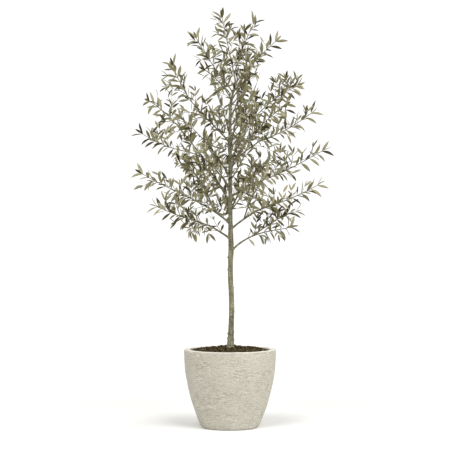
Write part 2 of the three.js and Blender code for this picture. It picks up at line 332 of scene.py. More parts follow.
# ---- Compost -----------------------------------------------------------------------------
# Dark potting compost, filled level with the rim and pressed down along the wall. Loose
# crumbs and a few chips of bark lie on top of it.

COMPOST_TOP = POT_HEIGHT + 0.0015
COMPOST_EDGE = 0.0110  # below the rim
COMPOST_CLEAR = 0.0006  # between the compost and the inside of the pot
COMPOST_SHOULDER = 0.060  # from the wall to where the top is level
COMPOST_SIDES = 72
LOOSE_FROM = 0.372  # the height above which it is lumpy
TOP_RINGS = 24
TOP_RING_GAP = 0.008
TOP_INSET = 0.0025  # of the first ring of the top, from the wall
LITTER_CLEAR = 0.004  # between the wall and what lies on the compost

dice = random.Random(11)


def mound_height(radius):
    share = max(0.0, min(1.0, (MOUTH_RADIUS - radius) / COMPOST_SHOULDER))
    edge = POT_HEIGHT - COMPOST_EDGE
    return edge + (COMPOST_TOP - edge) * (1 - (1 - share) ** 2)


compost_rings = [(radius, POT_FLOOR + COMPOST_CLEAR) for radius in (0.04, 0.11)]
compost_rings += [(inner_radius(z) - 2 * COMPOST_CLEAR, z) for z in (0.06, 0.13, 0.20, 0.28)]
compost_rings += [(MOUTH_RADIUS - 2 * COMPOST_CLEAR, z) for z in (0.36, 0.374)]
top_radii = [MOUTH_RADIUS - TOP_INSET - TOP_RING_GAP * i for i in range(TOP_RINGS)]
compost_rings += [(radius, mound_height(radius)) for radius in top_radii]
compost = turned("compost", COMPOST_SIDES, compost_rings)
subdivide(compost, 1)
loose = compost.vertex_groups.new(name="loose")
top = [vertex.index for vertex in compost.data.vertices if vertex.co.z > LOOSE_FROM]
loose.add(top, 1, "REPLACE")
roughen(compost, (0.022, 0.022, 0.022), 0.0085, "SOFT_NOISE", 2, "loose")
roughen(compost, (0.007, 0.007, 0.007), 0.0038, "HARD_NOISE", 1, "loose")
compost.vertex_groups.clear()


def dark_compost():
    material, tree, shader = new_material("dark_compost", paint(58, 46, 28), 0.95,
                                          Specular_IOR_Level=0.2)
    fine, pits = grit_of(tree, (0.004, 0.004, 0.004), 0.7)
    tone = blend(tree, (1.0, fine), (-0.4, pits))
    colour = ramp(tree, tone, (0.2, paint(20, 14, 5)), (0.5, paint(50, 39, 18)),
                  (0.66, paint(128, 114, 80)))
    tree.links.new(colour, shader.inputs["Base Color"])
    carve(tree, shader, tone, 0.8, 0.002)
    return material


compost_material = dark_compost()
finish_faces(compost, compost_material, 60)
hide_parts("soil")


def small_form(subdivisions, roughness):
    """The vertices and faces of one rough lump, about one unit across."""
    bpy.ops.object.select_all(action="DESELECT")
    bpy.ops.mesh.primitive_ico_sphere_add(subdivisions=subdivisions, radius=0.5)
    lump = bpy.context.object
    bpy.ops.object.mode_set(mode="EDIT")
    bpy.ops.transform.vertex_random(offset=roughness, seed=4)
    bpy.ops.object.mode_set(mode="OBJECT")
    corners = np.array([vertex.co for vertex in lump.data.vertices])
    faces = np.array([face.vertices for face in lump.data.polygons])
    bpy.data.objects.remove(lump)
    return corners, faces


def any_turn():
    """A rotation that may point anywhere, as three rows."""
    turn = Vector([dice.gauss(0, 1) for _ in range(3)]).to_track_quat("Z", "Y")
    return np.array(turn.to_matrix()) @ np.array(
        Vector((0, 0, 1)).rotation_difference(
            Vector([dice.gauss(0, 1) for _ in range(3)]).normalized()
        ).to_matrix()
    )


def strewn(name, form, count, size, flatness, material, within=1.0):
    """Copies of one small form lying on the compost, joined."""
    corners, faces = form
    all_corners, all_faces = [], []
    limit = MOUTH_RADIUS - LITTER_CLEAR
    for index in range(count):
        radius = limit * within * math.sqrt(dice.uniform(0.008, 1))
        angle = dice.uniform(0, 2 * math.pi)
        width = dice.uniform(*size) * dice.uniform(0.7, 1.0)
        reach = min(radius, limit - width / 2)
        shape = np.array([1, dice.uniform(0.6, 0.95), dice.uniform(*flatness)]) * width
        middle = (reach * math.cos(angle), reach * math.sin(angle),
                  mound_height(reach) + width * dice.uniform(0.0, 0.45))
        all_corners.append((corners @ any_turn().T * shape) + middle)
        all_faces.append(faces + index * len(corners))
    mesh = bpy.data.meshes.new(name)
    mesh.from_pydata(np.concatenate(all_corners).tolist(), [],
                     np.concatenate(all_faces).tolist())
    finish_faces(set_up(name, mesh), material, 50)


chip_material = new_material("bark_chip", paint(156, 146, 118), 0.9)[0]
strewn("compost_crumbs", small_form(1, 0.10), count=1500, size=(0.003, 0.008),
       flatness=(0.6, 0.9), material=compost_material)
strewn("compost_clods", small_form(2, 0.09), count=150, size=(0.010, 0.018),
       flatness=(0.6, 0.85), material=compost_material, within=0.72)
strewn("bark_chips", small_form(1, 0.08), count=160, size=(0.005, 0.010),
       flatness=(0.2, 0.4), material=chip_material)

# ---- Stem --------------------------------------------------------------------------------
# One straight young stem with smooth grey-olive bark, which runs in fine streaks and swells
# at the soil, at each bough and over the scars of shoots that were pruned off.

UP = Vector((0, 0, 1))
BELOW = Vector((0, 0, -10))
STEM_STEP = 0.004
STEM_RING_GAP = 0.006
LINE_CUTS = 12  # of a smooth line, between two given points
COLLAR_LENGTH = 0.030
COLLAR_SWELL = 1.55  # radius of a collar at the stem, over that of its bough
BARK_VOXEL = 0.0016
SLIM_HEIGHTS = (0.40, 0.46, 0.82, 0.92)
SLIM_SHARES = (0.78, 0.84, 0.84, 1.0)  # the bark is slimmer here than the CAD stem
SWAY = 0.0028  # a slight bend right and then left in the bare stem
SWAY_FROM = 0.508
SWAY_LENGTH = 0.370
SCAR_TILT = 0.35  # rise over reach
SCARS = [  # height, azimuth in degrees, size
    (0.462, 185, 0.006), (0.470, 5, 0.005), (0.438, 178, 0.006), (0.430, 352, 0.006),
    (0.552, 250, 0.005), (0.610, 80, 0.005), (0.664, 330, 0.006), (0.693, 356, 0.007),
    (0.742, 205, 0.005), (0.785, 182, 0.006), (0.842, 186, 0.007), (0.905, 120, 0.006),
]


def rings_of(node, origin, gap):
    """(centre, radius) of each ring of vertices of a CAD limb, nearest to an origin first.

    The rings lie more than a gap apart, as their distances from the origin go.
    """
    corners = {tuple(round(c, 6) for c in v.co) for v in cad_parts[node].data.vertices}
    ordered = sorted((Vector(c) for c in corners), key=lambda c: (c - origin).length)
    groups = [[ordered[0]]]
    for before, corner in zip(ordered, ordered[1:]):
        if (corner - origin).length - (before - origin).length > gap:
            groups.append([])
        groups[-1].append(corner)
    rings = []
    for group in groups:
        centre = sum(group, Vector()) / len(group)
        radii = sorted((corner - centre).length for corner in group)
        rings.append((centre, radii[len(radii) // 2]))
    return rings


def smooth_line(points, step):
    """Points at even steps on a smooth line through the given ones."""
    ends = [2 * points[0] - points[1], *points, 2 * points[-1] - points[-2]]
    fine = []
    for a, b, c, d in zip(ends, ends[1:], ends[2:], ends[3:]):
        for i in range(LINE_CUTS):
            t = i / LINE_CUTS
            fine.append(0.5 * (2 * b + (c - a) * t + (2 * a - 5 * b + 4 * c - d) * t * t
                               + (3 * b - a - 3 * c + d) * t ** 3))
    fine.append(points[-1])
    lengths = np.cumsum([0, *[(b - a).length for a, b in zip(fine, fine[1:])]])
    count = max(2, round(lengths[-1] / step) + 1)
    table = np.array(fine)
    places = np.linspace(0, lengths[-1], count)
    return [Vector([np.interp(s, lengths, table[:, axis]) for axis in range(3)])
            for s in places]


def tubes(name, runs, roundness):
    """Round tapering tubes, closed at both ends. Each run is a list of (point, radius)."""
    curve = bpy.data.curves.new(name, "CURVE")
    curve.dimensions = "3D"
    curve.bevel_depth = 1
    curve.bevel_resolution = roundness
    curve.use_fill_caps = True
    for run in runs:
        spline = curve.splines.new("POLY")
        spline.points.add(len(run) - 1)
        for spot, (point, radius) in zip(spline.points, run):
            spot.co = (*point, 1)
            spot.radius = radius
    piece = set_up(name, curve)
    pick(piece)
    bpy.ops.object.convert(target="MESH")
    bpy.ops.object.mode_set(mode="EDIT")
    bpy.ops.mesh.select_all(action="SELECT")
    bpy.ops.mesh.remove_doubles(threshold=1e-5)
    bpy.ops.object.mode_set(mode="OBJECT")
    return piece


stem_rings = rings_of("trunk", BELOW, STEM_RING_GAP)
stem_heights = [centre.z for centre, radius in stem_rings]
stem_radii = [radius for centre, radius in stem_rings]
stem_line = smooth_line([centre for centre, radius in stem_rings], STEM_STEP)
for point in stem_line:
    if SWAY_FROM < point.z < SWAY_FROM + SWAY_LENGTH:
        point.x += SWAY * math.sin(2 * math.pi * (point.z - SWAY_FROM) / SWAY_LENGTH)


def stem_radius(height):
    slim = np.interp(height, SLIM_HEIGHTS, SLIM_SHARES)
    return float(np.interp(height, stem_heights, stem_radii) * slim)


def stem_point(height):
    return min(stem_line, key=lambda point: abs(point.z - height))


# A limb's line runs from inside what carries it, through its bough node, to the last leaf
# bud in its mass of foliage. Its leaf tips then end where the mass does.
LIMB_STEP = 0.008
LIMB_RING_GAP = 0.004
END_RING = 0.0012  # a smaller ring only closes the end of a bough
FORK_DISTANCE = 0.024  # a limb that begins further from the stem grows from another
SUNK_IN_LIMB = 0.003
SUNK_IN_STEM = 0.8  # of the stem's radius
FAR_PART = 0.62  # of the way through a mass of foliage, which shows where its limb arrives
BEYOND_CUTS = (0.25, 0.5, 0.75, 1)
BUD_RADIUS = 0.0014
LAST_LEAF = 0.050  # from the last bud to the end of the mass
SAG = {  # how far the middle of a bough's leafy part hangs below the even way to its tip
    "left_middle": 0.022, "left_upper": 0.012, "left_low": 0.013, "right_high": 0.021,
    "right_middle": 0.014, "right_upper": -0.009, "right_wide": 0.015,
}


class Limb:
    def __init__(self, name):
        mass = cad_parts["foliage_" + name].data
        corners = [vertex.co.copy() for vertex in mass.vertices]
        faces = [tuple(face.vertices) for face in mass.polygons]
        bough = "bough_" + name
        rough_root = max(
            (v.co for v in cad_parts[bough].data.vertices),
            key=lambda c: min((c - corner).length for corner in corners[::7]),
        )
        self.name = name
        self.room = BVHTree.FromPolygons(corners, faces)
        self.tip = max(corners, key=lambda c: (c - rough_root).length).copy()
        rings = rings_of(bough, self.tip, LIMB_RING_GAP)[::-1]
        rings = [ring for ring in rings if ring[1] > END_RING]
        start = rings[0][0]
        heading = (rings[1][0] - start).normalized()
        self.forks = (start - stem_point(start.z)).length > FORK_DISTANCE
        self.radius = rings[1][1]
        sunk = SUNK_IN_LIMB if self.forks else stem_radius(start.z) * SUNK_IN_STEM
        end = rings[-1][0]
        leaving = (end - rings[-2][0]).normalized()
        span = (self.tip - end).length
        limit = FAR_PART * span ** 2
        outer = [c for c in corners if (c - end).dot(self.tip - end) > limit]
        arriving = (self.tip - sum(outer, Vector()) / len(outer)).normalized()
        first, second = end + leaving * span / 3, self.tip - arriving * span / 3
        beyond = [
            end * (1 - t) ** 3 + first * 3 * t * (1 - t) ** 2
            + second * 3 * t * t * (1 - t) + self.tip * t ** 3
            for t in BEYOND_CUTS
        ]
        points = [start - heading * sunk] + [ring[0] for ring in rings] + beyond
        line = smooth_line(points, LIMB_STEP)
        self.line = line[: len(line) - round(LAST_LEAF / LIMB_STEP)]
        self.bare = sum((b[0] - a[0]).length for a, b in zip(rings, rings[1:])) + sunk
        self.length = LIMB_STEP * (len(self.line) - 1)
        for i, point in enumerate(self.line):
            share = (i * LIMB_STEP - self.bare) / (self.length - self.bare)
            if share > 0:
                point.z -= SAG.get(name, 0) * math.sin(math.pi * share)

    def radius_at(self, along):
        """Stout at the root, and thinner towards the last bud."""
        share = along / self.length
        wood = self.radius * (1 - 0.45 * share) * (1 - share) ** 0.9
        return wood + BUD_RADIUS * share + 0.0002


bough_names = sorted(n[len("bough_"):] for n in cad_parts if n.startswith("bough_"))
limbs = [Limb(name) for name in bough_names]

stem_runs = [[(point, stem_radius(point.z)) for point in stem_line]]
for limb in limbs:
    count = round(COLLAR_LENGTH / LIMB_STEP) + 2
    if not limb.forks:
        stem_runs.append([
            (point, limb.radius * (1 + (COLLAR_SWELL - 1) * (1 - i / (count - 1)) ** 2))
            for i, point in enumerate(limb.line[:count])
        ])
for height, azimuth, size in SCARS:
    angle = math.radians(azimuth)
    out = Vector((math.cos(angle), math.sin(angle), SCAR_TILT)).normalized()
    skin = stem_point(height) + out * (stem_radius(height) - 0.002)
    stem_runs.append([
        (skin - out * 0.003, size * 0.9), (skin + out * 0.002, size * 0.8),
        (skin + out * size * 0.9, size * 0.5),
    ])

stem = tubes("stem", stem_runs, 6)
apply_modifier(stem, "REMESH", mode="VOXEL", voxel_size=BARK_VOXEL)
apply_modifier(stem, "SMOOTH", factor=0.5, iterations=4)
roughen(stem, (0.007, 0.007, 0.060), 0.0018, "SOFT_NOISE", 2)
roughen(stem, (0.014, 0.014, 0.020), 0.0014, "SOFT_NOISE", 1)


def olive_bark(name, lump, *shades):
    """Bark streaked in lumps of a size along x, y and z, with shades from dark to pale."""
    material, tree, shader = new_material(name, shades[1], 0.82, Specular_IOR_Level=0.3)
    streaks = noise(tree, lump, 4.0, 0.6)
    patches = noise(tree, (0.03, 0.03, 0.07))
    rings = spread(tree, noise(tree, (0.03, 0.03, 0.0035), 2.0, 0.6), 0.36, 0.5)
    fine, pits = grit_of(tree, (0.0022, 0.0022, 0.0034), 0.5)
    rise = blend(tree, (1.0, streaks), (0.35, fine), (0.25, rings))
    tone = blend(tree, (1.0, rise), (0.5, patches), (-0.25, pits))
    colour = ramp(
        tree, spread(tree, tone, 0.76, 1.46),
        (0.0, shades[0]), (0.4, shades[1]), (0.7, shades[2]), (1.0, shades[3]),
    )
    tree.links.new(colour, shader.inputs["Base Color"])
    carve(tree, shader, rise, 0.7, 0.001)
    return material


stem_bark = olive_bark("stem_bark", (0.004, 0.004, 0.05), paint(54, 50, 35),
                       paint(100, 96, 75), paint(134, 130, 107), paint(174, 170, 148))
finish_faces(stem, stem_bark, 70)
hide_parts("trunk")

# ---- Boughs ------------------------------------------------------------------------------
# Thin tapering boughs in the same bark, each grown from the stem or from another bough, and
# a little knotted at even steps along them.

KNOT_GAP = 0.028
KNOT_SWELL = 0.16  # share of the radius


def limb_run(limb):
    run = []
    for i, point in enumerate(limb.line):
        along = i * LIMB_STEP
        knot = 1 + KNOT_SWELL * max(0, math.cos(2 * math.pi * along / KNOT_GAP)) ** 3
        run.append((point, limb.radius_at(along) * knot))
    return run


boughs = tubes("boughs", [limb_run(limb) for limb in limbs], 3)
bough_bark = olive_bark("bough_bark", (0.006, 0.006, 0.010), paint(51, 48, 33),
                        paint(83, 79, 58), paint(109, 105, 81), paint(140, 136, 112))
finish_faces(boughs, bough_bark, 60)
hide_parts(*["bough_" + name for name in bough_names])

# ---- Twigs and leaves --------------------------------------------------------------------
# Leathery narrow leaves, dark grey-green above and pale and felted below. They stand in
# opposite pairs along the boughs and the side shoots, one pair turned against the next, and
# each shoot ends in a splayed pair with its youngest leaf between.

NODE_GAP = 0.0312  # between pairs
PAIR_TURNS = (0, 52, 0, -52)  # leaf stalks twist, so pairs are less than a quarter turn apart
END_LEAVES = ((0, 34, 1.0), (180, 34, 1.0), (75, 8, 0.74))  # turn, lean, share of the length
MISSING = 0.05  # share of the leaves that have dropped
MISSING_ON_BARE = 0.5
LEAN = 56  # degrees from the shoot, at its first pair
LEAN_LOST = 14  # at its last pair
LEAN_GAINED = 8  # on its lower side
TURN_SPREAD = 0.2  # radians
ON_SKIN = 0.7  # of a bough's radius, so that a leaf sits in the bark
SHOOT_STEP = 0.007
SHOOT_ROOT = 0.0016  # radii
SHOOT_END = 0.0008
FIRST_PAIR = 0.012  # from the root
LONGEST_SHOOT = 0.110
SHORTEST_SHOOT = 0.024
SHOOT_LEANS = (38, 54)  # degrees from what carries it
SHOOT_ROOM = 0.03  # where it sets out beside its mass of foliage
SHOOT_GAP = 0.056
SHOOT_GAP_BETWEEN_SEEN = 0.080
SHOOT_GAP_IN_DEPTH = 0.042  # on boughs that grow to the front or the back
IN_DEPTH = 0.45  # the share of their heading that does so
SIDE_TURNS = (80, -80, 110, -60, 65, -105)  # degrees, of shoots on boughs with seen shoots
ROUND_TURNS = (15, -75, 80, -20, 110, -100)  # and on the other boughs
STANDS_PROUD = 0.012  # how far leaf tips may stand out of their mass
STANDS_PROUD_IN_DEPTH = 0.045
SPUR_GAP = 0.080  # between short shoots on the stem
SPUR_HEIGHTS = (1.06, 1.70)
SPUR_LENGTHS = (0.04, 0.085)
SPUR_TURN = 137  # degrees from one to the next
SPUR_ARC = 200  # degrees round the back
INNER_GAP = 0.054  # between the thin boughs that fill the front and the back of the crown
INNER_HEIGHTS = (1.02, 1.68)
INNER_TRIES = 6  # of which the one that hides least sky is kept
INNER_AZIMUTHS = (24, 54)  # degrees to either side of straight forwards or backwards
INNER_CLIMB = (0.45, 0.75)  # rise over reach
INNER_TURNS = (80, -80, 20, 100, -100, -20)
INNER_STEPS = 5  # between two of their shoots
INNER_ROOT = 0.0042
INNER_BARE = 0.3  # share of their length
CROWN_HEIGHTS = (1.00, 1.20, 1.45, 1.70, 1.90, 2.05)
CROWN_HALF_DEPTHS = (0.20, 0.33, 0.36, 0.28, 0.17, 0.06)
LEAF_LENGTH = 0.067
FIRST_LEAVES = {"lower": 0.78, "middle": 0.68, "upper": 0.64}  # share of it near the stem
ON_SEEN_SHOOTS = LEAF_LENGTH * 0.78
ON_THE_STEM = LEAF_LENGTH * 0.68
ON_FILLING_SHOOTS = LEAF_LENGTH * 0.72
ON_INNER_BOUGHS = LEAF_LENGTH * 0.80
LENGTHS = (0.86, 1.12)  # shares of these
SLIMNESS = (0.215, 0.26)  # width over length
BEND = 6  # degrees, of an upright leaf
DROOP = 24  # more, of a level or a hanging one
ROLL = 64  # degrees that a leaf's face is turned about its length, from face up
ROLL_LOST = 46  # where it points to the front or the back
FILLING_ROLLS = (20, 60, -60, 65, -65)
LEAF_TINTS = 4
LIKE_ITS_SPRAY = 0.5  # share of the leaves
LEAF_ROWS = 7
LEAF_FOLD = 0.16  # rise of the edges over the midrib, over the width
LEAF_THICK = 0.05
# Side shoots that stand out from the front, by what carries them: x and z of the root, and
# how far the tip lies to the right of it and above it, in millimetres.
SEEN_SHOOTS = {
    "left_top": [(-120, 1852, -15, 55), (-95, 1832, -5, 50), (-75, 1806, 5, 56),
        (-50, 1766, 20, 60), (-25, 1726, 5, 75), (-19, 1720, 8, 43), (-157, 1924, -17, 10),
        (-98, 1830, -45, 10)],
    "leader": [(5, 1856, 20, 100), (-15, 1926, 15, 65), (-5, 1861, -45, 25), (15, 1795, 40, 60),
        (5, 1836, -40, -5), (10, 1812, 16, 22), (-32, 2014, -32, 19), (-18, 1944, -36, 23),
        (23, 1750, -37, 21)],
    "right_leader": [(50, 1853, -10, 95), (65, 1892, 5, 80), (50, 1843, 35, 40),
        (97, 1970, 22, 19), (37, 1816, 81, 26)],
    "right_top": [(140, 1847, -5, 45), (100, 1811, -15, 51), (186, 1893, -15, 30),
        (70, 1776, 10, 55)],
    "right_front_top": [(50, 1688, 14, 50), (79, 1717, 0, 44), (44, 1683, -13, 58)],
    "left_upper": [(-212, 1657, -99, 34), (-212, 1661, -15, 60), (-149, 1585, -24, 89),
        (-119, 1551, 0, 55), (-85, 1512, -5, 60), (-178, 1613, -25, 15), (-45, 1464, -10, 80),
        (-65, 1483, -40, -30), (-229, 1691, -60, 8), (-252, 1732, -51, 10), (-34, 1457, 3, 50),
        (-108, 1533, -54, 3), (-266, 1760, -15, 13), (-139, 1567, 4, 46)],
    "left_high": [(-282, 1529, -10, 126), (-257, 1498, 11, 65), (-313, 1561, -35, 0),
        (-272, 1519, -50, 10), (-241, 1467, -50, 10), (-205, 1426, -5, 70), (-190, 1411, -5, 55),
        (-365, 1614, 0, 40), (-165, 1385, 30, 50), (-137, 1349, -50, -4), (-297, 1546, 4, 62)],
    "left_middle": [(-323, 1402, -25, 85), (-288, 1393, -30, 64), (-259, 1388, 30, 50),
        (-382, 1422, -5, 39), (-358, 1412, -4, 40), (-199, 1373, 0, 45), (-150, 1349, 15, 55),
        (-115, 1324, -5, 60), (-80, 1275, 15, 59), (-78, 1293, 3, 34), (-52, 1263, -75, 2),
        (-18, 1219, 7, 33), (-341, 1431, -20, -3)],
    "front_left": [(-94, 1379, -14, 55), (-69, 1351, -5, 64), (-40, 1318, 5, 64),
        (-53, 1332, -44, 17), (-34, 1304, -73, 8), (-57, 1338, -50, 12)],
    "left_wide": [(-341, 1211, -10, 45), (-311, 1196, -5, 40), (-286, 1186, -10, 30),
        (-236, 1160, -10, 55), (-200, 1145, -15, 60), (-170, 1130, -100, -15),
        (-210, 1150, -81, 5), (-125, 1105, 5, 60), (-85, 1085, -50, -5), (-60, 1070, 5, 50),
        (-35, 1045, 15, 65), (-150, 1120, -10, 50), (-145, 1117, -14, 76), (-104, 1093, -5, 55),
        (-124, 1105, -90, -46), (-180, 1135, -14, 58), (-230, 1161, -18, 47),
        (-374, 1229, -60, -21)],
    "left_low": [(-124, 1000, -144, 20), (-40, 970, -55, 100), (-227, 1049, -20, 50),
        (-266, 1069, 5, 44), (-310, 1093, -10, 35), (-198, 1035, -10, 39), (-164, 1015, -5, 39),
        (-188, 1008, -4, -32), (-165, 1002, -7, -34), (-120, 996, 12, -28),
        (-125, 1018, -67, -25), (-58, 981, -49, -1)],
    "right_low": [(106, 955, 30, 85), (254, 985, 5, 56), (202, 980, 5, 30), (290, 990, 10, 41),
        (145, 972, 7, -12), (180, 970, 9, -14), (235, 975, 9, -14), (116, 956, 12, 32)],
    "right_fork": [(180, 1000, 10, 40), (229, 1040, 5, 30), (278, 1060, 20, 49),
        (226, 1031, 12, 81), (195, 1012, 0, 96)],
    "right_wide": [(347, 1159, 20, 39), (303, 1144, 0, 35), (258, 1129, 5, 40),
        (214, 1109, 5, 50), (159, 1085, -5, 39), (100, 1060, 5, 40), (180, 1103, 12, 39),
        (209, 1117, 12, 40)],
    "right_rear": [(145, 1300, 108, 88), (102, 1251, 10, 61), (153, 1301, 6, 59),
        (115, 1267, -2, 28), (161, 1307, 59, -15), (32, 1145, 47, 23)],
    "right_middle": [(418, 1348, 0, 50), (357, 1322, 5, 41), (287, 1297, 30, 75),
        (256, 1281, 30, 71), (216, 1266, 15, 55), (231, 1271, 75, -5), (160, 1236, 0, 50),
        (100, 1200, 5, 45), (31, 1167, 12, 51), (129, 1219, 14, 45), (66, 1186, 12, 32),
        (262, 1288, 12, 42), (234, 1274, 16, 95)],
    "right_high": [(333, 1522, -5, 39), (298, 1497, -20, 40), (254, 1468, -10, 45),
        (224, 1453, -30, 40), (165, 1419, 9, 55), (100, 1379, 10, 50), (115, 1406, 97, -30),
        (135, 1420, 8, 41), (371, 1549, 8, 20), (264, 1497, 52, 5), (229, 1478, 53, -18),
        (148, 1428, 64, -17)],
    "right_upper": [(294, 1696, -10, 55), (253, 1669, -15, 61), (212, 1637, -5, 46),
        (172, 1606, -11, 40), (131, 1564, -10, 91), (85, 1512, -5, 71), (55, 1482, 5, 60),
        (71, 1500, 52, 11), (302, 1692, 6, 27), (227, 1638, 5, 93), (264, 1666, 4, 61),
        (321, 1705, 17, 40), (116, 1543, 0, 43)],
    "stem": [(0, 1635, -55, 40), (0, 1575, -35, 35), (0, 1510, -20, 45), (10, 1575, 35, 45),
        (10, 1540, 40, 30), (15, 1530, 40, -25), (-5, 1335, -30, 55), (-5, 1385, -25, 80),
        (10, 1075, 85, 100), (5, 1405, 40, 40), (0, 1275, 30, 50), (0, 1210, 35, 35),
        (10, 1115, 30, 70), (-5, 1245, -35, 50), (-5, 1460, -35, 55), (5, 1345, 35, 45),
        (2, 1596, 29, 43), (17, 1679, 47, 32)],
    "front_left_low": [(-55, 1218, -56, 7), (-39, 1191, -57, 10), (-87, 1259, -90, -2),
        (-128, 1295, -62, -7)],
    "right_front": [(100, 1124, -28, 56), (72, 1050, 55, 4), (84, 1083, -26, 44),
        (72, 1050, 76, 32), (126, 1177, -16, 50), (104, 1133, 42, 25)],
    "front_right": [(27, 1505, 65, 33), (49, 1584, 46, 24)],
    "rear_middle": [(5, 1259, 31, 41), (10, 1292, -20, 25)],
    "left_rear_low": [(-206, 1309, -49, 23), (-158, 1241, -44, 25), (-103, 1139, 19, 45)],
    "left_front_top": [(-1, 1649, 32, 59)],
    "right_front_upper": [(33, 1353, 49, 9), (86, 1425, 80, 0), (198, 1536, -3, 70),
        (228, 1559, 4, 34), (131, 1475, -3, 48), (108, 1450, 57, 3)],
    "rear_low": [(-4, 1067, -51, 35)],
    "left_rear_upper": [(-88, 1516, 2, 36)],
    "rear_upper": [(-81, 1726, 21, 54), (-8, 1485, -76, 39), (-59, 1661, 30, 55)],
}

# Openings that show sky through the crown from the front: x, z and radius in millimetres.
OPENINGS = [
    (-130, 2044, 45), (40, 2044, 30), (-110, 1990, 29), (180, 1984, 34), (-240, 1964, 25),
    (120, 1930, 25), (-80, 1930, 21), (150, 1924, 21), (-285, 1890, 60), (-185, 1874, 21),
    (-225, 1850, 38), (265, 1834, 51), (-205, 1810, 35), (205, 1800, 45), (-335, 1800, 21),
    (-150, 1800, 21), (305, 1784, 21), (-180, 1774, 30), (160, 1760, 30), (-365, 1760, 29),
    (-160, 1744, 25), (155, 1714, 32), (-140, 1714, 22), (-380, 1710, 25), (350, 1684, 20),
    (-125, 1680, 27), (-430, 1680, 21), (-335, 1664, 25), (385, 1650, 41), (-70, 1644, 21),
    (315, 1640, 29), (-450, 1630, 21), (-240, 1610, 21), (420, 1604, 20), (325, 1600, 21),
    (-420, 1594, 20), (-215, 1574, 27), (-400, 1534, 32), (405, 1530, 25), (-450, 1510, 27),
    (-170, 1500, 22), (-145, 1490, 20), (390, 1454, 42), (470, 1444, 25), (325, 1434, 21),
    (275, 1430, 21), (365, 1410, 25), (175, 1384, 20), (-430, 1354, 42), (-380, 1350, 22),
    (-340, 1324, 40), (-460, 1314, 25), (-380, 1300, 25), (-305, 1284, 29), (440, 1270, 22),
    (400, 1260, 25), (-270, 1260, 21), (345, 1244, 25), (-475, 1220, 25), (255, 1204, 27),
    (475, 1190, 20), (-430, 1180, 20), (-395, 1150, 34), (430, 1150, 21), (380, 1114, 21),
    (-155, 1094, 21), (35, 1044, 22), (-330, 999, 27), (70, 989, 35), (-70, 959, 20),
    (45, 954, 29), (305, 934, 27), (-145, 924, 30), (-205, 924, 20), (235, 909, 22),
]
EYE = Vector((0, -7.2, 0.985))  # where the front is seen from
SPOTS = (0.25, 0.5, 0.7, 0.9)  # shares of a leaf's length, where it is tested from there
OUTERMOST = 0.09  # this far from the end of a bough, its leaves stand whatever they hide
SEE_THROUGH = 0.72  # of the radius of an opening
LEFT_IN_OPENING = 0.05  # share of the leaves that stays where the sky shows
STEM_SHOWS_TO = 1.75  # the height up to which the stem shows
STEM_CLEAR = 0.015
BEFORE_STEM = 0.02
LEFT_ON_STEM = 0.25  # share of the leaves that stays in front of the stem
COVERED_SPOTS = 3  # that a filling leaf needs where others show
LEFT_BETWEEN = 0.10  # share of the filling leaves that stays with fewer
CROWDED = 3  # filling leaves, one behind the other
CELL = 10  # millimetres

dice = random.Random(5)
leaves = {"lower": [], "middle": [], "upper": []}
twig_runs = []
covered = set()  # cells in which the leaves along the main boughs show from the front
crowd = Counter()  # how many filling leaves show in each cell


def across(vector, axis):
    """The part of a vector that is square to an axis, as a unit vector."""
    return (vector - axis * vector.dot(axis)).normalized()


def any_way():
    return Vector([dice.gauss(0, 1) for _ in range(3)])


def around(along, turn, flank=None):
    """The direction square to a shoot at a turn from its upper side, or from its flank's."""
    side = across(flank or (along.cross(UP) if abs(along.z) < 0.999 else UP.zxy), along)
    return side.cross(along) * math.cos(turn) + side * math.sin(turn)


def front_place(point):
    """Where a point shows from the front: x and z in millimetres at the stem."""
    nearness = EYE.y / (EYE.y - point.y)
    return point.x * nearness * 1000, (EYE.z + (point.z - EYE.z) * nearness) * 1000


def cell(point):
    x, z = front_place(point)
    return round(x / CELL), round(z / CELL)


def shows_sky(point):
    """Whether a point lies in front of an opening, or behind it."""
    x, z = front_place(point)
    return any(math.hypot(x - a, z - b) < radius * SEE_THROUGH for a, b, radius in OPENINGS)


def hides_stem(point):
    before = point.y < -BEFORE_STEM and point.z < STEM_SHOWS_TO
    near = before and abs(point.x) < 4 * STEM_CLEAR  # a quick test before the exact one
    return near and abs(point.x - stem_point(point.z).x) < STEM_CLEAR


